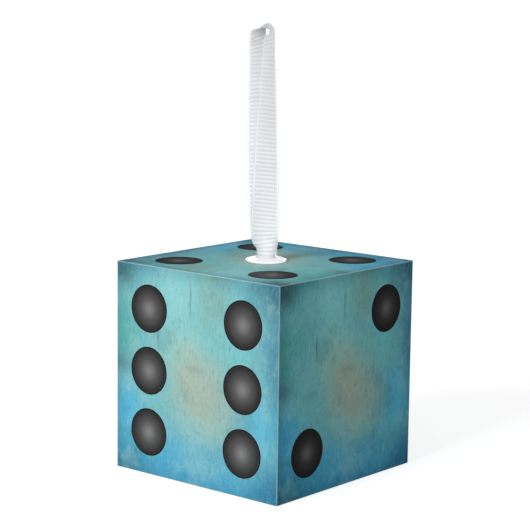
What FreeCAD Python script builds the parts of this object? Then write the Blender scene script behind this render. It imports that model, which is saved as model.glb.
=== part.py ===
import FreeCAD, Part
import math
import os
import Sketcher

# Hanging cube ornament decorated as a die, in millimetres.
#
# Origin: centre of the cube's underside. +Z is up, the face with six spots looks along -Y and the
# face with two spots along +X. Opposite faces add up to seven.
#
# A hollow moulded core (shell and snap-in cover) carries six printed panels with mitred edges. Each
# spot is a thin disc set flush in its panel. A barbed grommet in the top guides a ribbon, which is
# knotted inside and rises as one loop.

SIZES = [
    ("edge_length", 47.0, "cube, over the printed panels"),
    ("panel_thickness", 0.8, "printed panel"),
    ("panel_bevel", 0.18, "unprinted bevel along each edge of the cube"),
    ("panel_gap", 0.02, "gap between a panel's mitre and the cube's diagonal plane"),
    ("shell_wall", 1.6, "walls and top of the core shell"),
    ("cover_thickness", 1.6, "plate of the core cover"),
    ("spigot_height", 4.0, "upstand of the cover inside the shell"),
    ("spigot_wall", 1.2, "wall of that upstand"),
    ("spigot_clearance", 0.1, "play between upstand and shell, each side"),
    ("bead_length", 14.0, "snap bead on each side of the upstand"),
    ("bead_height", 0.8, "height of a snap bead"),
    ("bead_proud", 0.5, "how far a bead stands out of the upstand"),
    ("bead_rise", 2.2, "underside of a bead above the cover's plate"),
    ("slot_clearance", 0.15, "play of a bead in its slot"),
    ("pip_diameter", 10.7, "spot"),
    ("pip_thickness", 0.15, "spot, flush with the panel"),
    ("pip_clearance", 0.02, "play of a spot in its recess, on the radius"),
    ("pip_column", 13.6, "spot centre from the face's centre, sideways"),
    ("pip_row", 13.9, "spot centre from the face's centre, upwards"),
    ("bore_diameter", 4.8, "hole through the grommet"),
    ("grommet_wall", 0.8, "wall of the grommet's barrel"),
    ("flange_diameter", 9.3, "grommet flange"),
    ("flange_thickness", 0.85, "flange at its crown"),
    ("flange_rim", 0.3, "flange at its rim"),
    ("flange_land", 0.5, "level ring round the bore on the flange"),
    ("barb_proud", 0.35, "how far the barb stands out of the barrel"),
    ("barb_length", 1.2, "barb, along the barrel"),
    ("barb_lead", 0.2, "how much narrower than the barrel the barb's nose is, on the radius"),
    ("edge_round", 0.18, "rounding of the flange's rim and of the bore's mouth"),
    ("grommet_clearance", 0.1, "play of the barrel in the core and panel, on the radius"),
    ("ribbon_width", 6.4, "ribbon"),
    ("ribbon_thickness", 0.4, "ribbon"),
    ("ribbon_yaw", 40.0, "turn of the ribbon's plane about Z, in degrees"),
    ("neck_clearance", 0.25, "play of the gathered ribbon in the bore, on the radius"),
    ("neck_depth", 4.0, "gathered ribbon in the bore, front to back"),
    ("flare_depth", 3.4, "gathered ribbon where it becomes flat, front to back"),
    ("flare_height", 7.0, "gathered neck from the cube's top to the flat ribbon"),
    ("loop_height", 52.6, "top of the ribbon loop above the cube"),
    ("knot_radius", 3.6, "knot under the grommet"),
    ("knot_half_height", 2.6, "half height of the knot before its ends are cut off"),
    ("knot_gap", 0.35, "free height between grommet and knot"),
    ("tail_length", 8.0, "cut ends of the ribbon under the knot"),
    ("tail_gap", 0.8, "gap between the two cut ends"),
]

# Spots of each face as (sideways, up) in steps of pip_column and pip_row, seen from outside.
CENTRE = [(0, 0)]
DIAGONAL = [(-1, -1), (1, 1)]
CORNERS = [(-1, -1), (1, -1), (-1, 1), (1, 1)]
SIDES = [(-1, 0), (1, 0)]

# Each face: its spots, then the directions of its outward normal and of its picture's upper edge.
X = FreeCAD.Vector(1, 0, 0)
Y = FreeCAD.Vector(0, 1, 0)
Z = FreeCAD.Vector(0, 0, 1)
FACES = {
    "one": (CENTRE, Y, Z),
    "two": (DIAGONAL, X, Z),
    "three": (CENTRE + DIAGONAL, -Z, -Y),
    "four": (CORNERS, Z, -Y),
    "five": (CENTRE + CORNERS, -X, Z),
    "six": (CORNERS + SIDES, -Y, Z),
}

# The ribbon loop's two legs, from the neck to the top bend. Each row holds the share of the leg's
# height, then in millimetres how far its middle lies to the right and towards the front of the
# cube's axis in the ribbon's own plane, then the turn of its width out of that plane in degrees.
FRONT_LEG = [
    (0.00, -0.58, 1.30, 14),
    (0.25, -0.30, 1.60, 29),
    (0.50, -0.25, 1.80, 45),
    (0.75, -0.10, 1.55, 60),
    (1.00, 0.08, 0.35, 73),
]
REAR_LEG = [
    (1.00, -2.52, -0.35, 117),
    (0.75, -2.10, -1.75, 131),
    (0.50, -1.75, -1.95, 143),
    (0.25, -1.30, -1.70, 157),
    (0.00, -0.64, -1.30, 172),
]
BEND_STEPS = 6

# The gathered neck above the flange: share of flare_height, sideways offset, and share of the way
# from its width in the bore to the full width of the ribbon.
FLARE = [
    (0.18, 0.10, 0.00),
    (0.40, -0.03, 0.10),
    (0.53, -0.25, 0.40),
    (0.66, -0.50, 0.75),
    (0.80, -0.56, 0.92),
    (1.00, -0.60, 1.00),
]

doc = FreeCAD.newDocument("cube_ornament")
sheet = doc.addObject("Spreadsheet::Sheet", "Sizes")
for row, (alias, size, meaning) in enumerate(SIZES, 1):
    sheet.set(f"A{row}", meaning)
    sheet.set(f"B{row}", str(size))
    sheet.setAlias(f"B{row}", alias)
doc.recompute()

# Sizes that follow from the sheet, as formulas for the objects.
HALF = "Sizes.edge_length / 2"
CORE_HALF = "(Sizes.edge_length / 2 - Sizes.panel_thickness)"
CAVITY_HALF = f"({CORE_HALF} - Sizes.shell_wall)"
SPIGOT_HALF = f"({CAVITY_HALF} - Sizes.spigot_clearance)"
SHELL_BASE = "(Sizes.panel_thickness + Sizes.cover_thickness)"
BORE = "Sizes.bore_diameter / 2"
BARREL = "(Sizes.bore_diameter / 2 + Sizes.grommet_wall)"
GROMMET_HOLE = f"({BARREL} + Sizes.grommet_clearance)"
GRIP = "(Sizes.panel_thickness + Sizes.shell_wall + Sizes.grommet_clearance)"
BARREL_LENGTH = f"({GRIP} + Sizes.barb_length)"
KNOT_TOP = f"(Sizes.edge_length - {BARREL_LENGTH} - Sizes.knot_gap)"
KNOT_CUT = 45  # latitude at which the knot's ends are cut off, in degrees
KNOT_HEIGHT = f"(2 * Sizes.knot_half_height * sin({KNOT_CUT} deg))"

sub_parts = []


def number(formula):
    """The present value of a formula."""
    return float(sheet.evalExpression(formula))


def new_body(label):
    """An empty sub-part made of sketched features."""
    body = doc.addObject("PartDesign::Body", label)
    body.Label = label
    sub_parts.append(body)
    return body


def new_sketch(body, name, plane="XY_Plane", height="0"):
    """A sketch on one of the body's own planes, lifted by a formula."""
    sketch = body.newObject("Sketcher::SketchObject", name)
    origin_plane = [f for f in body.Origin.OriginFeatures if f.Role == plane][0]
    sketch.AttachmentSupport = [(origin_plane, "")]
    sketch.MapMode = "FlatFace"
    sketch.setExpression("AttachmentOffset.Base.z", height)
    return sketch


def pin_point(sketch, geometry, point, x, y):
    """Holds a point of the sketch at two formulas from its origin."""
    for kind, formula in (("DistanceX", x), ("DistanceY", y)):
        size = number(formula)
        if abs(size) < 1e-9:
            axis = -2 if kind == "DistanceX" else -1
            sketch.addConstraint(Sketcher.Constraint("PointOnObject", geometry, point, axis))
            continue
        index = sketch.addConstraint(Sketcher.Constraint(kind, -1, 1, geometry, point, size))
        sketch.setExpression(f"Constraints[{index}]", formula)


def polygon(sketch, corners):
    """A closed outline through corners, each given as two formulas."""
    points = [FreeCAD.Vector(number(x), number(y), 0) for x, y in corners]
    first = sketch.GeometryCount
    count = len(points)
    for i in range(count):
        sketch.addGeometry(Part.LineSegment(points[i], points[(i + 1) % count]), False)
    for i in range(count):
        following = first + (i + 1) % count
        sketch.addConstraint(Sketcher.Constraint("Coincident", first + i, 2, following, 1))
    for i, (x, y) in enumerate(corners):
        pin_point(sketch, first + i, 1, x, y)


def square(sketch, half):
    """A square centred on the sketch's origin."""
    polygon(sketch, [(f"-{half}", f"-{half}"), (half, f"-{half}"), (half, half), (f"-{half}", half)])


def circle(sketch, radius, x="0", y="0"):
    """A circle with its radius and centre given as formulas."""
    centre = FreeCAD.Vector(number(x), number(y), 0)
    geometry = sketch.addGeometry(Part.Circle(centre, FreeCAD.Vector(0, 0, 1), number(radius)), False)
    index = sketch.addConstraint(Sketcher.Constraint("Radius", geometry, number(radius)))
    sketch.setExpression(f"Constraints[{index}]", radius)
    pin_point(sketch, geometry, 3, x, y)


def extrude(body, kind, name, sketch, length, reverse=False, taper=0):
    """A pad or pocket of a sketch by a formula's length."""
    feature = body.newObject(f"PartDesign::{kind}", name)
    feature.Profile = sketch
    feature.setExpression("Length", length)
    feature.Reversed = reverse
    feature.TaperAngle = taper
    return feature


def four_times(body, name, feature):
    """Repeats a feature on the four sides of the cube."""
    doc.recompute()
    pattern = body.newObject("PartDesign::PolarPattern", name)
    pattern.Originals = [feature]
    upright = [f for f in body.Origin.OriginFeatures if f.Role == "Z_Axis"][0]
    pattern.Axis = (upright, [""])
    pattern.Angle = 360
    pattern.Occurrences = 4
    body.Tip = pattern
    return pattern


def place(part, x="0", y="0", z="0", rotation=None):
    """Puts a sub-part at three formulas, turned by a rotation."""
    part.Placement = FreeCAD.Placement(FreeCAD.Vector(), rotation or FreeCAD.Rotation())
    for axis, formula in (("x", x), ("y", y), ("z", z)):
        part.setExpression(f"Placement.Base.{axis}", formula)


def build_core_shell():
    """Five walls, open at the bottom, with a slot in each side for the cover's beads."""
    body = new_body("core_shell")
    height = f"(Sizes.edge_length - Sizes.panel_thickness - {SHELL_BASE})"
    outline = new_sketch(body, "shell_outline")
    square(outline, CORE_HALF)
    extrude(body, "Pad", "shell_block", outline, height)
    hollow = new_sketch(body, "shell_hollow")
    square(hollow, CAVITY_HALF)
    extrude(body, "Pocket", "shell_cavity", hollow, f"{height} - Sizes.shell_wall", reverse=True)
    hole = new_sketch(body, "grommet_seat", height=height)
    circle(hole, GROMMET_HOLE)
    extrude(body, "Pocket", "grommet_hole", hole, "Sizes.shell_wall * 2")
    slot = new_sketch(body, "slot_outline", height="Sizes.bead_rise - Sizes.slot_clearance")
    slot_half = "(Sizes.bead_length / 2 + Sizes.slot_clearance)"
    slot_end = f"({SPIGOT_HALF} + Sizes.bead_proud + Sizes.slot_clearance)"
    slot_start = f"({CAVITY_HALF} - Sizes.shell_wall)"
    corners = [(slot_start, f"-{slot_half}"), (slot_end, f"-{slot_half}")]
    corners += [(slot_end, slot_half), (slot_start, slot_half)]
    polygon(slot, corners)
    slot_height = "Sizes.bead_height + 2 * Sizes.slot_clearance"
    cut = extrude(body, "Pocket", "bead_slot", slot, slot_height, reverse=True)
    four_times(body, "bead_slots", cut)
    place(body, z=SHELL_BASE)


def build_core_cover():
    """Plate that closes the shell, with an upstand that snaps in by four beads."""
    body = new_body("core_cover")
    outline = new_sketch(body, "plate_outline")
    square(outline, CORE_HALF)
    extrude(body, "Pad", "plate", outline, "Sizes.cover_thickness")
    upstand = new_sketch(body, "upstand_outline", height="Sizes.cover_thickness")
    square(upstand, SPIGOT_HALF)
    square(upstand, f"({SPIGOT_HALF} - Sizes.spigot_wall)")
    extrude(body, "Pad", "upstand", upstand, "Sizes.spigot_height")
    bead = new_sketch(body, "bead_outline", height="Sizes.cover_thickness + Sizes.bead_rise")
    start = f"({SPIGOT_HALF} - Sizes.spigot_wall / 2)"
    end = f"({SPIGOT_HALF} + Sizes.bead_proud)"
    side = "Sizes.bead_length / 2"
    polygon(bead, [(start, f"-{side}"), (end, f"-{side}"), (end, side), (start, side)])
    pad = extrude(body, "Pad", "snap_bead", bead, "Sizes.bead_height")
    four_times(body, "snap_beads", pad)
    place(body, z="Sizes.panel_thickness")


def face_rotation(normal, up):
    """Turns local Z to the face's normal and local Y to the upper edge of its picture."""
    return FreeCAD.Rotation(up.cross(normal), up, normal, "ZXY")


def place_on_face(part, normal, up):
    """Puts a part whose local XY plane is the outer face onto that face of the cube."""
    middle = {"x": normal.x, "y": normal.y, "z": normal.z + 1}
    formulas = {axis: f"{share} * {HALF}" for axis, share in middle.items()}
    place(part, rotation=face_rotation(normal, up), **formulas)


def spot_circles(sketch, spots, radius):
    """One circle for each spot of a face."""
    for column, row in spots:
        circle(sketch, radius, f"{column} * Sizes.pip_column", f"{row} * Sizes.pip_row")


def build_panel(name, spots, normal, up):
    """Printed panel: mitred towards its neighbours, bevelled outside, with a recess per spot."""
    body = new_body(f"panel_{name}")
    widest = new_sketch(body, "widest_section", height="-Sizes.panel_bevel / 2")
    square(widest, "(Sizes.edge_length / 2 - Sizes.panel_bevel / 2 - Sizes.panel_gap)")
    mitre_depth = "Sizes.panel_thickness - Sizes.panel_bevel / 2"
    extrude(body, "Pad", "mitred_back", widest, mitre_depth, reverse=True, taper=-45)
    extrude(body, "Pad", "bevelled_front", widest, "Sizes.panel_bevel / 2", taper=-45)
    recess = new_sketch(body, "spot_recesses")
    spot_circles(recess, spots, "(Sizes.pip_diameter / 2 + Sizes.pip_clearance)")
    extrude(body, "Pocket", "spot_recess", recess, "Sizes.pip_thickness")
    if normal == Z:
        hole = new_sketch(body, "grommet_seat")
        circle(hole, GROMMET_HOLE)
        extrude(body, "Pocket", "grommet_hole", hole, "Sizes.panel_thickness * 2")
    place_on_face(body, normal, up)


def build_pips(name, spots, normal, up):
    """The spots of one face, as separate thin discs in one node."""
    body = new_body(f"pips_{name}")
    body.AllowCompound = True
    discs = new_sketch(body, "spot_discs")
    spot_circles(discs, spots, "(Sizes.pip_diameter / 2)")
    extrude(body, "Pad", "spots", discs, "Sizes.pip_thickness", reverse=True)
    place_on_face(body, normal, up)


def build_grommet():
    """Flanged bush with a barb that grips under the shell's top wall."""
    body = new_body("grommet")
    profile = new_sketch(body, "grommet_profile", plane="XZ_Plane")
    flange = "Sizes.flange_diameter / 2"
    polygon(
        profile,
        [
            (BORE, f"-{BARREL_LENGTH}"),
            (f"{BARREL} - Sizes.barb_lead", f"-{BARREL_LENGTH}"),
            (f"{BARREL} + Sizes.barb_proud", f"-{GRIP}"),
            (BARREL, f"-{GRIP}"),
            (BARREL, "0"),
            (flange, "0"),
            (flange, "Sizes.flange_rim"),
            (f"{BORE} + Sizes.flange_land", "Sizes.flange_thickness"),
            (BORE, "Sizes.flange_thickness"),
        ],
    )
    turned = body.newObject("PartDesign::Revolution", "turned_bush")
    turned.Profile = profile
    turned.ReferenceAxis = (profile, ["V_Axis"])
    turned.Angle = 360
    doc.recompute()
    rim = circular_edges(turned.Shape, number(flange), number("Sizes.flange_rim"))
    lip = circular_edges(turned.Shape, number(BORE), number("Sizes.flange_thickness"))
    fillet = body.newObject("PartDesign::Fillet", "soft_edges")
    fillet.Base = (turned, rim + lip)
    fillet.setExpression("Radius", "Sizes.edge_round")
    place(body, z="Sizes.edge_length")


def circular_edges(shape, radius, height):
    """Names of the full circular edges with that radius at that height."""
    found = []
    for index, edge in enumerate(shape.Edges, 1):
        curve = edge.Curve
        if not isinstance(curve, Part.Circle):
            continue
        if abs(curve.Radius - radius) < 1e-4 and abs(curve.Center.z - height) < 1e-4:
            found.append(f"Edge{index}")
    return found


def build_knot():
    """The ribbon's knot, an ellipsoid with flat ends where the ribbon enters and leaves."""
    knot = doc.addObject("Part::Ellipsoid", "ribbon_knot")
    knot.Label = "ribbon_knot"
    knot.setExpression("Radius1", "Sizes.knot_half_height")
    knot.setExpression("Radius2", "Sizes.knot_radius")
    knot.setExpression("Radius3", "Sizes.knot_radius")
    knot.Angle1 = -KNOT_CUT
    knot.Angle2 = KNOT_CUT
    place(knot, z=f"{KNOT_TOP} - {KNOT_HEIGHT} / 2")
    sub_parts.append(knot)


def ribbon_frame():
    """Directions to the right and to the front in the ribbon's own plane."""
    yaw = math.radians(number("Sizes.ribbon_yaw"))
    right = FreeCAD.Vector(math.cos(yaw), math.sin(yaw), 0)
    front = FreeCAD.Vector(math.sin(yaw), -math.cos(yaw), 0)
    return right, front


def build_tails():
    """The two cut ends of the ribbon, side by side under the knot."""
    body = new_body("ribbon_tails")
    body.AllowCompound = True
    ends = new_sketch(body, "tail_sections")
    half = "Sizes.ribbon_width / 2"
    for side in (-1, 1):
        near = f"{side} * Sizes.tail_gap / 2"
        far = f"{side} * (Sizes.tail_gap / 2 + Sizes.ribbon_thickness)"
        polygon(ends, [(f"-{half}", near), (half, near), (half, far), (f"-{half}", far)])
    extrude(body, "Pad", "tails", ends, "Sizes.tail_length", reverse=True)
    yaw = FreeCAD.Rotation(Z, number("Sizes.ribbon_yaw"))
    place(body, z=f"{KNOT_TOP} - {KNOT_HEIGHT}", rotation=yaw)


def finished_shape(label, shape):
    """A sub-part whose shape is worked out from the sheet's sizes."""
    part = doc.addObject("Part::Feature", label)
    part.Label = label
    part.Shape = shape
    sub_parts.append(part)


def ellipse(middle, along, width, depth):
    """A level ellipse of that width and depth, its width running along a direction."""
    across = Z.cross(along)
    large = along * (width / 2)
    small = across * (depth / 2)
    curve = Part.Ellipse(middle + large, middle + small, middle)
    return Part.Wire([curve.toShape()])


def build_neck():
    """The gathered ribbon: from the knot through the bore, flaring out to its flat width."""
    right = ribbon_frame()[0]
    narrow = number(f"2 * ({BORE} - Sizes.neck_clearance)")
    wide = number("Sizes.ribbon_width")
    thin = number("Sizes.neck_depth")
    thick = number("Sizes.flare_depth")
    top = number("Sizes.edge_length")
    flare = number("Sizes.flare_height")
    sections = [ellipse(Z * height, right, narrow, thin) for height in (number(KNOT_TOP), top)]
    for share, sideways, widening in FLARE:
        middle = Z * (top + share * flare) + right * sideways
        width = narrow + widening * (wide - narrow)
        depth = thin + widening * (thick - thin)
        sections.append(ellipse(middle, right, width, depth))
    finished_shape("ribbon_neck", Part.makeLoft(sections, True, True))


def ribbon_section(middle, tangent, width_direction):
    """The ribbon's cross-section, square to its run."""
    along = width_direction - tangent * width_direction.dot(tangent)
    along.normalize()
    half_width = along * (number("Sizes.ribbon_width") / 2)
    half_depth = tangent.cross(along) * (number("Sizes.ribbon_thickness") / 2)
    corners = [half_width + half_depth, half_depth - half_width]
    corners += [-half_width - half_depth, half_width - half_depth]
    return Part.makePolygon([middle + c for c in corners] + [middle + corners[0]])


def build_loop():
    """The flat ribbon: up the front leg, over a tight bend and down the rear leg."""
    right, front = ribbon_frame()
    base = number("Sizes.edge_length + Sizes.flare_height")
    start, end = FRONT_LEG[-1], REAR_LEG[0]
    radius = math.hypot(start[1] - end[1], start[2] - end[2]) / 2
    bend_base = number("Sizes.edge_length + Sizes.loop_height - Sizes.ribbon_thickness / 2") - radius

    def width_at(turn):
        angle = math.radians(turn)
        return right * math.cos(angle) + front * math.sin(angle)

    def level(share, sideways, forward, turn, upward):
        middle = right * sideways + front * forward + Z * (base + share * (bend_base - base))
        return ribbon_section(middle, Z * upward, width_at(turn))

    def bend(step):
        angle = math.pi * step / BEND_STEPS
        share = (1 - math.cos(angle)) / 2
        sideways = start[1] + share * (end[1] - start[1])
        forward = start[2] + share * (end[2] - start[2])
        run = right * (end[1] - start[1]) + front * (end[2] - start[2])
        run.normalize()
        tangent = run * math.sin(angle) + Z * math.cos(angle)
        middle = right * sideways + front * forward + Z * (bend_base + radius * math.sin(angle))
        turn = start[3] + (end[3] - start[3]) * step / BEND_STEPS
        return ribbon_section(middle, tangent, width_at(turn))

    sections = [level(*row, 1) for row in FRONT_LEG]
    sections += [bend(step) for step in range(1, BEND_STEPS)]
    sections += [level(*row, -1) for row in REAR_LEG]
    finished_shape("ribbon_loop", Part.makeLoft(sections, True, True))


build_core_shell()
build_core_cover()
for name, (spots, normal, up) in FACES.items():
    build_panel(name, spots, normal, up)
    build_pips(name, spots, normal, up)
build_grommet()
build_knot()
build_tails()
build_neck()
build_loop()
doc.recompute()

for item in doc.Objects:
    if "Invalid" in item.State or "Error" in item.State:
        raise RuntimeError(f"{item.Label} did not recompute: {item.State}")
for part in sub_parts:
    if part.Shape.isNull() or not part.Shape.isValid() or part.Shape.Volume <= 0:
        raise RuntimeError(f"{part.Label} has no valid solid")

os.makedirs("parts", exist_ok=True)
for part in sub_parts:
    part.Shape.exportStep(f"parts/{part.Label}.step")
    print(part.Label, len(part.Shape.Solids), "solid(s)", round(part.Shape.Volume, 2), "mm3")
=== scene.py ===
import math

import bpy
import numpy as np
from mathutils import Matrix, Vector


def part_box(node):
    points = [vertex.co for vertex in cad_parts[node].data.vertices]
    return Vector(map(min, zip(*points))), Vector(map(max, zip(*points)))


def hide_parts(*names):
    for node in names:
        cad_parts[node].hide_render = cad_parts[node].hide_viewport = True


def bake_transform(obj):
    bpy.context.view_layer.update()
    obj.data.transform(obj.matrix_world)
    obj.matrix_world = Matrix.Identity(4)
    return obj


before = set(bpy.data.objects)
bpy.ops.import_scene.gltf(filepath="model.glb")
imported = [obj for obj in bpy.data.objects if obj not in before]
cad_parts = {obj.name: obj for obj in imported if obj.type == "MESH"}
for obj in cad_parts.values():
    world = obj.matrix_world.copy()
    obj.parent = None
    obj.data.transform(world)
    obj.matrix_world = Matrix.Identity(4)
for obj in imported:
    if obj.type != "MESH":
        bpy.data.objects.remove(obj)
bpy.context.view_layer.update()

# Hanging cube ornament decorated as a die. Metres; -Y is the face with six spots, +X the face with
# two, +Z the face with four, where the ribbon comes out of a grommet.

MM = 0.001
CUBE_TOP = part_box("panel_four")[1].z
EDGE = CUBE_TOP
HALF = EDGE / 2
SPOT_RADIUS = (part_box("pips_one")[1].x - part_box("pips_one")[0].x) / 2
SPOT_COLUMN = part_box("pips_six")[1].x - SPOT_RADIUS
SPOT_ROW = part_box("pips_six")[1].z - HALF - SPOT_RADIUS
X = Vector((1, 0, 0))
Y = Vector((0, 1, 0))
Z = Vector((0, 0, 1))

# Spots of a face as (sideways, up) in steps of SPOT_COLUMN and SPOT_ROW, seen from outside.
CENTRE = [(0, 0)]
DIAGONAL = [(-1, -1), (1, 1)]
CORNERS = [(-1, -1), (1, -1), (-1, 1), (1, 1)]
SIDES = [(-1, 0), (1, 0)]

# Each face: its spots, then the directions of its outward normal and of its picture's upper edge.
FACES = {
    "one": (CENTRE, Y, Z),
    "two": (DIAGONAL, X, Z),
    "three": (CENTRE + DIAGONAL, -Z, -Y),
    "four": (CORNERS, Z, -Y),
    "five": (CENTRE + CORNERS, -X, Z),
    "six": (CORNERS + SIDES, -Y, Z),
}

# Painted shade: a face's colours are raised to this power, which darkens the print of faces two and
# five and the spots of two, five, four and three as shade would. First its print, then its spots.
PRINT_SHADE_POWER = {"two": 1.22, "five": 1.22}
SPOT_SHADE_POWER = {"two": 1.5, "five": 1.5, "four": 1.35, "three": 1.35}


# ---------------------------------------------------------------- camera and lights


def direction(azimuth, elevation):
    """Unit vector from the object towards a viewer at these angles in degrees."""
    a, e = math.radians(azimuth), math.radians(elevation)
    return Vector((math.sin(a) * math.cos(e), -math.cos(a) * math.cos(e), math.sin(e)))


CAMERA_PLACE = Vector((5.596, -6.663, 2.407)) * EDGE
CAMERA_BACK = direction(40.06, 9.33)
CAMERA_ROLL = math.radians(0.753)
SENSOR_WIDTH = 36  # millimetres
FOCAL_LENGTH = 126  # millimetres


def make_camera():
    """A long lens above the cube, turned a little about its own axis."""
    right = Z.cross(CAMERA_BACK).normalized()
    up = CAMERA_BACK.cross(right)
    across = right * math.cos(CAMERA_ROLL) + up * math.sin(CAMERA_ROLL)
    upward = up * math.cos(CAMERA_ROLL) - right * math.sin(CAMERA_ROLL)
    turned = Matrix((across, upward, CAMERA_BACK)).transposed().to_4x4()
    data = bpy.data.cameras.new("camera")
    data.sensor_width = SENSOR_WIDTH
    data.lens = FOCAL_LENGTH
    data.clip_start = 0.01
    data.clip_end = 20
    camera = bpy.data.objects.new("camera", data)
    bpy.context.scene.collection.objects.link(camera)
    camera.matrix_world = Matrix.Translation(CAMERA_PLACE) @ turned
    bpy.context.scene.camera = camera


WORLD_LIGHT = 0.25  # how much light the white room gives
WORLD_SHOWN = 1.05  # and how bright it looks to the camera


def soft_sun(name, azimuth, elevation, strength, spread, lit=None):
    """An even light from one side, as a large softbox far away gives. strength is what a white
    face square to it shows, spread is the softbox's width in degrees, and lit is the collection
    that it lights, or None for everything."""
    data = bpy.data.lights.new(name, "SUN")
    data.energy = strength * math.pi
    data.angle = math.radians(spread)
    light = bpy.data.objects.new(name, data)
    bpy.context.scene.collection.objects.link(light)
    light.rotation_euler = direction(azimuth, elevation).to_track_quat("Z", "Y").to_euler()
    light.light_linking.receiver_collection = lit


def light_group(name, parts, state):
    """A collection for a light, which lights just these parts with the state INCLUDE and all but
    these with EXCLUDE."""
    group = bpy.data.collections.new(name)
    for part in parts:
        group.objects.link(part)
    for member in group.collection_objects:
        member.light_linking.link_state = state
    return group


def make_lights(white_parts, rear_parts):
    """A key on the face with six spots, weak lights from the top and the side, one for the rear
    faces, three for the white parts alone, and a white room that lights less than it shows."""
    rear = light_group("rear_parts", rear_parts, "INCLUDE")
    white = light_group("white_parts", white_parts, "INCLUDE")
    others = light_group("other_parts", white_parts, "EXCLUDE")
    soft_sun("key", azimuth=-4, elevation=22, strength=0.73, spread=28, lit=others)
    soft_sun("top", azimuth=20, elevation=80, strength=0.12, spread=50)
    soft_sun("side", azimuth=96, elevation=16, strength=0.17, spread=50)
    soft_sun("rear", azimuth=225, elevation=10, strength=0.40, spread=60, lit=rear)
    soft_sun("white_front", azimuth=30, elevation=14, strength=0.95, spread=40, lit=white)
    soft_sun("white_fill", azimuth=78, elevation=36, strength=0.15, spread=60, lit=white)
    soft_sun("white_back", azimuth=235, elevation=12, strength=0.70, spread=60, lit=white)
    world = bpy.data.worlds.new("studio")
    bpy.context.scene.world = world
    world.use_nodes = True
    shader = Shader(world.node_tree)
    background = world.node_tree.nodes["Background"]
    background.inputs["Color"].default_value = (1, 1, 1, 1)
    seen = shader.node("ShaderNodeLightPath").outputs["Is Camera Ray"]
    strength = shader.math("MULTIPLY_ADD", seen, WORLD_SHOWN - WORLD_LIGHT, WORLD_LIGHT)
    shader.feed(background.inputs["Strength"], strength)
    bpy.context.scene.view_settings.view_transform = "Standard"


# ---------------------------------------------------------------- materials


class Shader:
    """Short ways to add and join nodes in one material or node group."""

    def __init__(self, tree):
        self.tree = tree

    def node(self, kind, **settings):
        made = self.tree.nodes.new(kind)
        for name, value in settings.items():
            setattr(made, name, value)
        return made

    def feed(self, socket, value):
        """Joins a socket to an output, or gives it a plain value."""
        if isinstance(value, bpy.types.NodeSocket):
            self.tree.links.new(value, socket)
        else:
            socket.default_value = value

    def math(self, operation, a, b=0.0, c=0.0):
        made = self.node("ShaderNodeMath", operation=operation)
        for socket, value in zip(made.inputs, (a, b, c)):
            self.feed(socket, value)
        return made.outputs[0]

    def vector(self, operation, a, b=(0, 0, 0)):
        made = self.node("ShaderNodeVectorMath", operation=operation)
        self.feed(made.inputs[0], a)
        self.feed(made.inputs[1], b)
        is_number = operation in ("DOT_PRODUCT", "LENGTH", "DISTANCE")
        return made.outputs["Value" if is_number else "Vector"]

    def smooth(self, value, low, high, to_low=0.0, to_high=1.0):
        """Eases from to_low at low to to_high at high."""
        made = self.node("ShaderNodeMapRange", interpolation_type="SMOOTHSTEP")
        for name, given in (("Value", value), ("From Min", low), ("From Max", high)):
            self.feed(made.inputs[name], given)
        self.feed(made.inputs["To Min"], to_low)
        self.feed(made.inputs["To Max"], to_high)
        return made.outputs["Result"]

    def mix(self, share, a, b):
        """Colour a where share is 0, going to colour b where it is 1."""
        made = self.node("ShaderNodeMix", data_type="RGBA")
        self.feed(made.inputs["Factor"], share)
        for name, value in (("A", a), ("B", b)):
            socket = [s for s in made.inputs if s.name == name and s.type == "RGBA"][0]
            self.feed(socket, value)
        return [s for s in made.outputs if s.type == "RGBA"][0]

    def noise(self, vector, scale, detail=3.0, roughness=0.5, distortion=0.0):
        """Noise with scale cells to each unit of the vector."""
        made = self.node("ShaderNodeTexNoise")
        self.feed(made.inputs["Vector"], vector)
        made.inputs["Scale"].default_value = scale
        made.inputs["Detail"].default_value = detail
        made.inputs["Roughness"].default_value = roughness
        made.inputs["Distortion"].default_value = distortion
        return made.outputs["Fac"]

    def join(self, x, y, z=0.0):
        made = self.node("ShaderNodeCombineXYZ")
        for socket, value in zip(made.inputs, (x, y, z)):
            self.feed(socket, value)
        return made.outputs[0]

    def bump(self, height, distance, strength):
        """A normal for relief that stands distance metres high where height is 1."""
        made = self.node("ShaderNodeBump")
        made.inputs["Strength"].default_value = strength
        made.inputs["Distance"].default_value = distance
        self.feed(made.inputs["Height"], height)
        return made.outputs["Normal"]


def new_material(name, roughness, specular=0.4):
    material = bpy.data.materials.new(name)
    material.use_nodes = True
    shader = Shader(material.node_tree)
    surface = material.node_tree.nodes["Principled BSDF"]
    surface.inputs["Roughness"].default_value = roughness
    surface.inputs["Specular IOR Level"].default_value = specular
    return material, shader, surface


def srgb(red, green, blue):
    """A colour given as 0 to 255 on a screen, as the linear colour that a shader takes."""

    def linear(value):
        value = value / 255
        return value / 12.92 if value <= 0.04045 else ((value + 0.055) / 1.055) ** 2.4

    return (linear(red), linear(green), linear(blue), 1.0)


def local_place(shader):
    """Place in the object's own frame, in metres."""
    return shader.node("ShaderNodeTexCoord").outputs["Object"]


def face_middle(normal):
    """The middle of the face with this outward normal."""
    return Vector((0, 0, HALF)) + normal * HALF


def picture_place(shader, normal, up):
    """Place in a face's picture: 0 to 1 from its left edge, and 0 to 1 from its lower edge."""
    place = local_place(shader)
    offset = shader.vector("SUBTRACT", place, tuple(face_middle(normal)))
    right = up.cross(normal)
    across = shader.vector("DOT_PRODUCT", offset, tuple(right / EDGE))
    upward = shader.vector("DOT_PRODUCT", offset, tuple(up / EDGE))
    u = shader.math("ADD", across, 0.5)
    v = shader.math("ADD", upward, 0.5)
    return u, v


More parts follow.
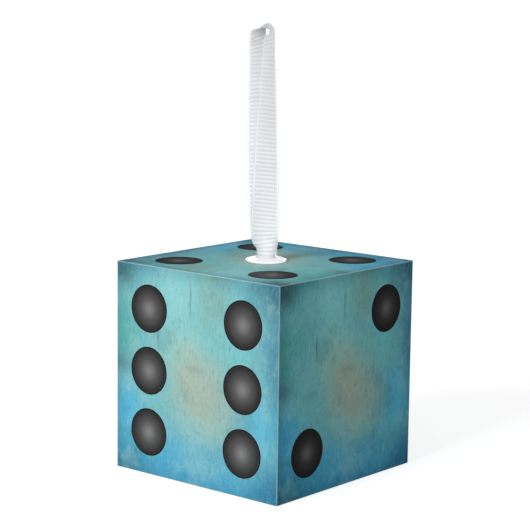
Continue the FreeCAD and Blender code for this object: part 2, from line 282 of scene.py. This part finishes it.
# The printed picture's colours, apart from its patches.
GROUND = srgb(112, 184, 194)
SCRATCH = srgb(60, 96, 96)
CLOUD_DARK = srgb(72, 132, 146)
CLOUD_LIGHT = srgb(184, 222, 214)
GRAIN_LIGHT = srgb(196, 222, 212)
GRAIN_DARK = srgb(40, 92, 108)
MARK = srgb(60, 98, 104)
OUTER_EDGE = srgb(24, 100, 128)

# How far the outlines of patches and scratches wander, as a share of the face's width.
PATCH_WANDER = 0.09
SCRATCH_WANDER = 0.02

# Soft patches of colour in the printed picture: place from the left and from the bottom, width and
# height of the patch, colour, and how strongly it covers what is under it.
PATCHES = [
    (0.50, 0.56, 0.72, 0.72, srgb(136, 200, 200), 0.85),
    (0.38, 0.86, 0.24, 0.30, srgb(148, 216, 218), 0.80),
    (0.40, 0.64, 0.26, 0.20, srgb(156, 206, 196), 0.70),
    (0.04, 0.68, 0.18, 0.30, srgb(92, 176, 168), 0.80),
    (0.62, 0.88, 0.18, 0.18, srgb(144, 184, 168), 0.65),
    (0.76, 0.72, 0.14, 0.26, srgb(122, 204, 210), 0.60),
    (1.00, 0.62, 0.16, 0.50, srgb(84, 150, 172), 0.85),
    (0.90, 0.34, 0.22, 0.26, srgb(88, 184, 218), 0.70),
    (0.06, 0.28, 0.22, 0.22, srgb(86, 184, 220), 0.90),
    (0.30, 0.14, 0.26, 0.20, srgb(86, 180, 214), 0.60),
    (0.55, 0.42, 0.30, 0.30, srgb(172, 182, 164), 0.80),
    (0.46, 0.52, 0.24, 0.22, srgb(180, 192, 174), 0.60),
    (0.66, 0.34, 0.18, 0.18, srgb(158, 188, 180), 0.45),
    (0.44, 0.24, 0.20, 0.14, srgb(112, 178, 192), 0.60),
    (0.64, 0.14, 0.22, 0.14, srgb(100, 164, 188), 0.60),
    (0.52, 0.00, 0.90, 0.26, srgb(62, 162, 204), 0.80),
    (0.02, 0.52, 0.14, 0.10, srgb(92, 132, 148), 0.75),
    (0.00, 0.00, 0.32, 0.22, srgb(26, 112, 146), 0.95),
    (1.00, 0.02, 0.24, 0.24, srgb(44, 120, 160), 0.90),
    (0.04, 0.97, 0.18, 0.12, srgb(60, 106, 110), 0.90),
    (0.98, 0.96, 0.20, 0.20, srgb(60, 118, 136), 0.85),
    (0.02, 0.12, 0.12, 0.14, srgb(66, 158, 194), 0.70),
    (0.64, 1.00, 0.16, 0.06, srgb(112, 140, 122), 0.55),
]

# Darker scratches in the picture: place from the left and from the bottom, width, height, strength.
SCRATCHES = [
    (0.47, 0.87, 0.010, 0.14, 0.45),
    (0.27, 0.68, 0.011, 0.09, 0.50),
    (0.50, 0.55, 0.09, 0.030, 0.22),
    (0.22, 0.47, 0.08, 0.035, 0.22),
]


def print_group():
    """The printed picture as a node group: place in the picture in, colour and ink relief out."""
    tree = bpy.data.node_groups.new("print", "ShaderNodeTree")
    for name in ("Across", "Up"):
        tree.interface.new_socket(name, in_out="INPUT", socket_type="NodeSocketFloat")
    tree.interface.new_socket("Color", in_out="OUTPUT", socket_type="NodeSocketColor")
    tree.interface.new_socket("Relief", in_out="OUTPUT", socket_type="NodeSocketFloat")
    shader = Shader(tree)
    given = shader.node("NodeGroupInput")
    u, v = given.outputs["Across"], given.outputs["Up"]

    def noise(across, up, seed, **settings):
        """Noise with that many cells to the face's width and height."""
        x = shader.math("MULTIPLY", u, across)
        y = shader.math("MULTIPLY", v, up)
        return shader.noise(shader.join(x, y, seed), 1.0, **settings)

    def shifted(value, seed, reach):
        """A place moved to and fro by up to reach, so that a patch's outline wanders."""
        drift = noise(4.0, 4.0, seed, detail=5.0, roughness=0.62)
        return shader.math("ADD", value, shader.math("MULTIPLY_ADD", drift, 2 * reach, -reach))

    def patch_share(place_u, place_v, left, low, wide, high, strength):
        """How strongly a patch covers a place: strength in its middle, none at its rim."""
        x = shader.math("MULTIPLY", shader.math("SUBTRACT", place_u, left), 1 / wide)
        y = shader.math("MULTIPLY", shader.math("SUBTRACT", place_v, low), 1 / high)
        return shader.smooth(shader.vector("LENGTH", shader.join(x, y)), 1.0, 0.0, 0.0, strength)

    warped_u = shifted(u, 1.3, PATCH_WANDER)
    warped_v = shifted(v, 6.1, PATCH_WANDER)
    colour = GROUND
    for left, low, wide, high, patch, strength in PATCHES:
        share = patch_share(warped_u, warped_v, left, low, wide, high, strength)
        colour = shader.mix(share, colour, patch)
    near_u = shifted(u, 2.9, SCRATCH_WANDER)
    for left, low, wide, high, strength in SCRATCHES:
        share = patch_share(near_u, v, left, low, wide, high, strength)
        colour = shader.mix(share, colour, SCRATCH)

    # Broad darker and lighter clouds.
    cloud = noise(5.0, 4.4, 8.6, detail=7.0, roughness=0.66, distortion=0.2)
    colour = shader.mix(shader.smooth(cloud, 0.50, 0.30, to_high=0.34), colour, CLOUD_DARK)
    colour = shader.mix(shader.smooth(cloud, 0.52, 0.70, to_high=0.26), colour, CLOUD_LIGHT)

    # Fine upright fibres and a mottle, which also stand out as ink relief.
    fibres = noise(120.0, 14.0, 0.0, detail=4.0, roughness=0.7)
    mottle = noise(60.0, 42.0, 5.1, detail=5.0, roughness=0.75)
    grain = shader.math("MULTIPLY_ADD", mottle, 0.8, fibres)
    colour = shader.mix(shader.smooth(grain, 0.92, 1.20, to_high=0.26), colour, GRAIN_LIGHT)
    colour = shader.mix(shader.smooth(grain, 0.88, 0.58, to_high=0.44), colour, GRAIN_DARK)

    # Upright marks, in some places only.
    streak = shader.smooth(noise(52.0, 4.5, 9.3, detail=3.0, roughness=0.6), 0.60, 0.74)
    places = shader.smooth(noise(5.0, 5.0, 2.2, detail=2.0), 0.44, 0.60)
    marks = shader.math("MULTIPLY", streak, places)
    colour = shader.mix(shader.math("MULTIPLY", marks, 0.35), colour, MARK)

    # Darker along the face's edges.
    beside = shader.math("ABSOLUTE", shader.math("SUBTRACT", u, 0.5))
    above = shader.math("ABSOLUTE", shader.math("SUBTRACT", v, 0.5))
    from_middle = shader.math("MAXIMUM", beside, above)
    colour = shader.mix(shader.smooth(from_middle, 0.41, 0.50, to_high=0.24), colour, OUTER_EDGE)
    result = shader.node("NodeGroupOutput")
    shader.feed(result.inputs["Color"], colour)
    shader.feed(result.inputs["Relief"], grain)
    return tree


INK_RELIEF = 0.012 * MM
BEVEL_LINE_WHITE = srgb(224, 236, 236)
BEVEL_STARTS = 0.02 * MM  # how far below the face the bevel is taken to start
BEVEL_LINE_SHARE = 0.35  # how much near-white is mixed into the print there, which draws a pale line along the edges


def panel_material(name, group, normal, up):
    """A printed sheet. On the bevel a share of near-white is mixed into the print, for a pale line
    along the edges.
    """
    material, shader, surface = new_material(f"printed_{name}", roughness=0.6, specular=0.12)
    u, v = picture_place(shader, normal, up)
    printed = shader.node("ShaderNodeGroup", node_tree=group)
    shader.feed(printed.inputs["Across"], u)
    shader.feed(printed.inputs["Up"], v)
    # Near-white is mixed into the print on the bevel, which draws a pale line along the cube's
    # edges.
    depth = shader.vector("DOT_PRODUCT", local_place(shader), tuple(normal))
    front = face_middle(normal).dot(normal)
    on_bevel = shader.math("LESS_THAN", depth, front - BEVEL_STARTS)
    bevel_line = shader.math("MULTIPLY", on_bevel, BEVEL_LINE_SHARE)
    # Painted shade: the print of faces two and five is darkened by a power.
    painted_shade = shader.node("ShaderNodeGamma")
    shader.feed(painted_shade.inputs["Color"], printed.outputs["Color"])
    shader.feed(painted_shade.inputs["Gamma"], PRINT_SHADE_POWER.get(name, 1.0))
    colour = shader.mix(bevel_line, painted_shade.outputs["Color"], BEVEL_LINE_WHITE)
    shader.feed(surface.inputs["Base Color"], colour)
    shader.feed(surface.inputs["Normal"], shader.bump(printed.outputs["Relief"], INK_RELIEF, 0.5))
    return material


SPOT_RELIEF = 0.006 * MM
SPOT_DUST = srgb(110, 108, 108)

# Grey of a spot, 0 to 255, at shares of its radius.
SPOT_GREYS = [
    (0.0, 132),
    (0.12, 124),
    (0.45, 84),
    (0.78, 52),
    (0.88, 40),
    (0.93, 46),
    (0.96, 20),
    (1.0, 10),
]


def spot_material(name, spots, normal, up):
    """Charcoal, lighter in the middle of each spot, with a black outline."""
    material, shader, surface = new_material(f"spot_{name}", roughness=0.5, specular=0.08)
    place = local_place(shader)
    right = up.cross(normal)
    nearest = 1.0  # a metre, which is far beyond the cube
    for column, row in spots:
        centre = face_middle(normal) + right * (column * SPOT_COLUMN) + up * (row * SPOT_ROW)
        far = shader.vector("DISTANCE", place, tuple(centre))
        nearest = shader.math("MINIMUM", nearest, far)
    radius = shader.math("DIVIDE", nearest, SPOT_RADIUS)
    ramp = shader.node("ShaderNodeValToRGB")
    elements = ramp.color_ramp.elements
    while len(elements) < len(SPOT_GREYS):
        elements.new(0.5)
    for element, (at, level) in zip(elements, SPOT_GREYS):
        # Painted shade: the spots of faces two, five, four and three are darkened by a power.
        grey = srgb(level, level, level)[0] ** SPOT_SHADE_POWER.get(name, 1.0)
        element.position = at
        element.color = (grey, grey, grey, 1)
    shader.feed(ramp.inputs["Fac"], radius)
    grain = shader.noise(place, 9000.0, 3.0, 0.6)
    dust = shader.smooth(grain, 0.35, 0.65, to_high=0.10)
    colour = shader.mix(dust, ramp.outputs["Color"], SPOT_DUST)
    shader.feed(surface.inputs["Base Color"], colour)
    shader.feed(surface.inputs["Normal"], shader.bump(grain, SPOT_RELIEF, 0.5))
    return material


MOULD_RELIEF = 0.006 * MM


def plastic_material(name, base, shade, roughness):
    """Moulded plastic: nearly even, with faint flow marks and a fine mould texture."""
    material, shader, surface = new_material(name, roughness)
    place = local_place(shader)
    flow = shader.noise(place, 260.0, 4.0, 0.6)
    fine = shader.noise(place, 5200.0, 2.0, 0.6)
    colour = shader.mix(shader.smooth(flow, 0.3, 0.7), base, shade)
    dullness = shader.smooth(flow, 0.3, 0.7, roughness - 0.05, roughness + 0.06)
    shader.feed(surface.inputs["Base Color"], colour)
    shader.feed(surface.inputs["Roughness"], dullness)
    shader.feed(surface.inputs["Normal"], shader.bump(fine, MOULD_RELIEF, 0.4))
    return material


WARP_PITCH = 0.16  # millimetres from one thread to the next across the ribbon
TWIST_PITCH = 0.30  # millimetres to one turn of a thread
TWIST_LEAN = 20.0  # radians by which the turn runs ahead in each millimetre across
THREAD_RELIEF = 0.02 * MM
GROOVE_SHADE = srgb(212, 212, 217)
RIDGE_WHITE = srgb(228, 228, 232)
SELVAGE_WHITE = srgb(232, 232, 235)
WORN_WHITE = srgb(214, 214, 224)
THREAD_GAP_SHADE = srgb(180, 180, 190)


def ribbon_material():
    """White grosgrain. The mesh carries the ribs. The material adds threads, a cloth surface, and
    painted shade in the grooves and between the threads.
    """
    material, shader, surface = new_material("grosgrain", roughness=0.62, specular=0.3)
    surface.inputs["Subsurface Weight"].default_value = 1.0
    surface.inputs["Subsurface Radius"].default_value = (1.0, 1.0, 1.0)
    surface.inputs["Subsurface Scale"].default_value = 0.7 * MM
    surface.inputs["Sheen Weight"].default_value = 0.25
    surface.inputs["Sheen Roughness"].default_value = 0.4
    across = shader.node("ShaderNodeAttribute", attribute_name="ribbon_across").outputs["Fac"]
    along = shader.node("ShaderNodeAttribute", attribute_name="ribbon_along").outputs["Fac"]
    ridge = shader.node("ShaderNodeAttribute", attribute_name="ribbon_ridge").outputs["Fac"]
    warp = shader.math("SINE", shader.math("MULTIPLY", across, 2 * math.pi / WARP_PITCH))
    lean = shader.math("MULTIPLY", across, TWIST_LEAN)
    turn = shader.math("MULTIPLY_ADD", along, 2 * math.pi / TWIST_PITCH, lean)
    threads = shader.math("MULTIPLY_ADD", shader.math("SINE", turn), 0.35, warp)
    # Painted shade: darker in the grooves between the ribs, lighter on the ridges.
    colour = shader.mix(shader.smooth(ridge, 0.0, 0.9), GROOVE_SHADE, RIDGE_WHITE)
    worn = shader.noise(shader.join(across, along), 1.4, 4.0, 0.6)
    colour = shader.mix(shader.smooth(worn, 0.35, 0.7, to_high=0.10), colour, WORN_WHITE)
    # Painted shade: darker in the gaps between the threads.
    thread_gap_shade = shader.smooth(threads, -1.2, 0.4, 0.10, 0.0)
    colour = shader.mix(thread_gap_shade, colour, THREAD_GAP_SHADE)
    inner = (RIBBON_WIDTH / 2 - SELVAGE) / MM
    on_selvage = shader.smooth(shader.math("ABSOLUTE", across), inner, inner + 0.15)
    colour = shader.mix(on_selvage, colour, SELVAGE_WHITE)
    shader.feed(surface.inputs["Base Color"], colour)
    shader.feed(surface.inputs["Normal"], shader.bump(threads, THREAD_RELIEF, 0.6))
    return material


# ---------------------------------------------------------------- ribbon

RIBBON_WIDTH = 6.4 * MM
RIB_PITCH = 0.9 * MM
GROOVE_HALF = 0.11 * MM  # half the ribbon's thickness in a groove
RIDGE_HALF = 0.19 * MM  # and on a ridge
SELVAGE_HALF = 0.16 * MM  # and in a selvage
SELVAGE = 0.5 * MM
RIM = 0.30 * SELVAGE  # how far in from the ribbon's outer edge its rounding reaches
RIBS_END = 0.86 * SELVAGE  # and how far from it the ribs end
STRAIGHT = 1e-3  # the least curl, in radians, that is worked out as a curve
SMOOTHING = 17  # how many stations the ribbon's direction is averaged over
RIBBON_YAW = math.radians(40)
RIGHT = Vector((math.cos(RIBBON_YAW), math.sin(RIBBON_YAW), 0))
FRONT = Vector((math.sin(RIBBON_YAW), -math.cos(RIBBON_YAW), 0))

# The ribbon's route, from the knot up the front leg, over the bend and down the rear leg. Each
# point: millimetres to the right and to the front of the cube's axis in the ribbon's own plane,
# height above the cube, then in degrees the turn of the ribbon's width out of that plane and half
# the angle through which its width is curled, which is positive where it bulges to the front.
ROUTE = [
    (-0.20, 1.75, -4.05, 0, 100),
    (-0.20, 1.78, 0.00, 0, 100),
    (-0.14, 1.80, 1.30, 2, 100),
    (-0.10, 1.85, 2.80, 5, 86),
    (-0.26, 1.80, 3.80, 8, 66),
    (-0.46, 1.62, 5.00, 10, 42),
    (-0.58, 1.30, 7.00, 14, 22),
    (-0.40, 1.45, 12.0, 22, 9),
    (-0.24, 1.60, 18.3, 29, 0),
    (-0.16, 1.75, 29.6, 44, 0),
    (0.06, 1.75, 41.0, 59, 0),
    (0.16, 1.60, 47.5, 66, 0),
    (0.22, 0.90, 50.5, 68, 0),
    (0.22, 0.55, 51.6, 78, 0),
    (-2.50, -0.55, 51.6, 112, 0),
    (-2.50, -0.90, 50.5, 122, 0),
    (-2.42, -1.70, 47.5, 126, 0),
    (-2.28, -1.90, 41.0, 132, 0),
    (-2.00, -1.95, 29.6, 143, 0),
    (-1.68, -1.70, 18.3, 157, 0),
    (-1.15, -1.50, 12.0, 165, -9),
    (-0.64, -1.30, 7.00, 172, -22),
    (-0.52, -1.55, 5.00, 174, -42),
    (-0.10, -1.70, 3.80, 175, -66),
    (0.10, -1.75, 2.80, 177, -86),
    (0.20, -1.75, 1.30, 179, -100),
    (0.22, -1.75, 0.00, 180, -100),
    (0.22, -1.75, -4.05, 180, -100),
]


STEPS = 24  # points of a smooth line to each stretch between its control points


def smooth_line(name, points):
    """Points along a smooth spline with these control points."""
    data = bpy.data.curves.new(name, "CURVE")
    data.dimensions = "3D"
    data.resolution_u = STEPS
    spline = data.splines.new("NURBS")
    spline.points.add(len(points) - 1)
    for control, point in zip(spline.points, points):
        control.co = (*point, 1)
    spline.order_u = 3
    spline.use_endpoint_u = True
    holder = bpy.data.objects.new(name, data)
    mesh = bpy.data.meshes.new_from_object(holder)
    line = np.array([vertex.co for vertex in mesh.vertices])
    bpy.data.objects.remove(holder)
    bpy.data.curves.remove(data)
    bpy.data.meshes.remove(mesh)
    return line


def ribbon_place(right, front, height):
    """A point of the route in the cube's frame."""
    return Z * (CUBE_TOP + height * MM) + RIGHT * (right * MM) + FRONT * (front * MM)


def unit(vectors):
    """The vectors at length 1."""
    return vectors / np.linalg.norm(vectors, axis=-1, keepdims=True)


# Where each rib's stations lie, as shares of its pitch: closer together in the groove.
RIB_PHASES = np.array([0.0, 0.05, 0.13, 0.27, 0.5, 0.73, 0.87, 0.95])

# Where the points of the ribbon's outline lie: this many across its ribbed part, and in each
# selvage at these shares of its width in from the outer edge, closer together there.
RIBBED_POINTS = 25
SELVAGE_POINTS = np.array([0.93, 0.86, 0.7, 0.5, 0.3, 0.16, 0.06, 0.0])


def stations(line, widths, curls):
    """Places along the line, eight to each rib, with the way along, the place, direction, width
    direction and curl of each, and how high on a rib it lies: 0 in a groove, 1 on a ridge."""
    along = np.concatenate([[0], np.cumsum(np.linalg.norm(np.diff(line, axis=0), axis=1))])
    ribs = round(along[-1] / RIB_PITCH)
    steps = (np.arange(ribs)[:, None] + RIB_PHASES).ravel()
    steps = np.append(steps, ribs)
    at = steps / ribs * along[-1]

    def pick(values):
        return np.stack([np.interp(at, along, column) for column in values.T], axis=1)

    middle = pick(line)
    tangent = unit(np.gradient(middle, at, axis=0))
    kernel = np.ones(SMOOTHING) / SMOOTHING
    padded = np.pad(tangent, ((SMOOTHING // 2, SMOOTHING // 2), (0, 0)), mode="edge")
    tangent = unit(np.stack([np.convolve(column, kernel, "valid") for column in padded.T], axis=1))
    width = pick(widths)
    width = unit(width - tangent * (width * tangent).sum(1, keepdims=True))
    curl = pick(curls[:, None])[:, 0]
    rib = np.sin(np.pi * steps) ** 2
    return at, middle, tangent, width, curl, rib


def ribbon_mesh(name, line, widths, curls):
    """The ribbon as a closed strip with cross ribs on both sides and smooth, rounded selvages."""
    at, middle, tangent, width, curl, rib = stations(line, widths, curls)
    half = RIBBON_WIDTH / 2
    edge = half - SELVAGE
    inner = np.linspace(-edge, edge, RIBBED_POINTS)
    outer = half - SELVAGE * SELVAGE_POINTS
    u = np.concatenate([-outer[::-1], inner, outer])
    from_edge = half - np.abs(u)
    roundness = np.sqrt(1 - (1 - np.clip(from_edge / RIM, 0, 1)) ** 2)
    ribbed = np.clip((from_edge - RIBS_END) / (SELVAGE - RIBS_END), 0, 1)
    ribbed_half = GROOVE_HALF + (RIDGE_HALF - GROOVE_HALF) * rib[:, None]
    thick = (SELVAGE_HALF + (ribbed_half - SELVAGE_HALF) * ribbed) * roundness
    normal = np.cross(width, tangent)
    radius = half / np.where(np.abs(curl) < STRAIGHT, STRAIGHT, curl)[:, None]
    angle = u / radius
    layers = []
    for side in (1, -1):
        x = (radius + side * thick) * np.sin(angle)
        y = (radius + side * thick) * np.cos(angle) - radius
        points = middle[:, None] + x[..., None] * width[:, None] + y[..., None] * normal[:, None]
        layers.append(points if side == 1 else points[:, ::-1][:, 1:-1])
    rings = np.concatenate(layers, axis=1)
    count, around = rings.shape[:2]
    u_ring = np.concatenate([u, u[::-1][1:-1]])
    ribbed_ring = np.concatenate([ribbed, ribbed[::-1][1:-1]])
    index = np.arange(count * around).reshape(count, around)
    turned = np.roll(index, -1, axis=1)
    faces = np.stack([index[:-1], index[1:], turned[1:], turned[:-1]], axis=-1).reshape(-1, 4)
    mesh = bpy.data.meshes.new(name)
    caps = [index[0].tolist(), index[-1][::-1].tolist()]
    mesh.from_pydata(rings.reshape(-1, 3).tolist(), [], faces.tolist() + caps)
    values = {
        "ribbon_across": np.tile(u_ring, (count, 1)) / MM,
        "ribbon_along": np.tile(at[:, None], (1, around)) / MM,
        "ribbon_ridge": 1 - (1 - rib[:, None]) * ribbed_ring[None, :],
    }
    for attribute, value in values.items():
        mesh.attributes.new(attribute, "FLOAT", "POINT").data.foreach_set("value", value.ravel())
    mesh.shade_smooth()
    mesh.update()
    made = bpy.data.objects.new(name, mesh)
    bpy.context.scene.collection.objects.link(made)
    return made


def make_ribbon(fabric):
    """The ribbon from one end in the knot to the other. It bends above the grommet."""
    line = smooth_line("route", [ribbon_place(*row[:3]) for row in ROUTE])
    turns = [math.radians(row[3]) for row in ROUTE]
    widths = smooth_line("width", [RIGHT * math.cos(t) + FRONT * math.sin(t) for t in turns])
    curls = smooth_line("curl", [(math.radians(row[4]), 0, 0) for row in ROUTE])[:, 0]
    ribbon = ribbon_mesh("ribbon", line, widths, curls)
    ribbon.data.materials.append(fabric)
    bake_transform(ribbon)
    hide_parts("ribbon_loop", "ribbon_neck")
    return ribbon


# ---------------------------------------------------------------- assembly


def give(node, material):
    """Puts a material on a CAD node, in place of what it has."""
    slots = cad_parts[node].data.materials
    slots.clear()
    slots.append(material)


FLOOR_SIZE = 8  # metres
FLOOR_GLOW = 0.72


def make_floor():
    """A white lit table: its own glow hides where it ends, and the soft shadows stay."""
    bpy.ops.mesh.primitive_plane_add(size=FLOOR_SIZE, location=(0, 0, 0))
    floor = bpy.context.object
    floor.name = "floor"
    material, shader, surface = new_material("pale_floor", roughness=0.9, specular=0.0)
    grain = shader.noise(local_place(shader), 30.0, 3.0)
    colour = shader.mix(shader.smooth(grain, 0.3, 0.7), srgb(196, 196, 196), srgb(192, 192, 192))
    shader.feed(surface.inputs["Base Color"], colour)
    seen = shader.node("ShaderNodeLightPath").outputs["Is Camera Ray"]
    surface.inputs["Emission Color"].default_value = (1, 1, 1, 1)
    shader.feed(surface.inputs["Emission Strength"], shader.math("MULTIPLY", seen, FLOOR_GLOW))
    floor.data.materials.append(material)


make_camera()
grosgrain = ribbon_material()
ribbon = make_ribbon(grosgrain)
picture = print_group()
core = plastic_material("core_plastic", srgb(236, 236, 232), srgb(228, 228, 222), 0.5)
white = plastic_material("grommet_plastic", srgb(232, 232, 233), srgb(226, 226, 228), 0.42)
for name, (spots, normal, up) in FACES.items():
    give(f"panel_{name}", panel_material(name, picture, normal, up))
    give(f"pips_{name}", spot_material(name, spots, normal, up))
give("core_shell", core)
give("core_cover", core)
give("grommet", white)
give("ribbon_knot", grosgrain)
give("ribbon_tails", grosgrain)
make_floor()
rear_nodes = ["panel_one", "panel_five", "pips_one", "pips_five"]
make_lights([ribbon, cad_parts["grommet"]], [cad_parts[node] for node in rear_nodes])
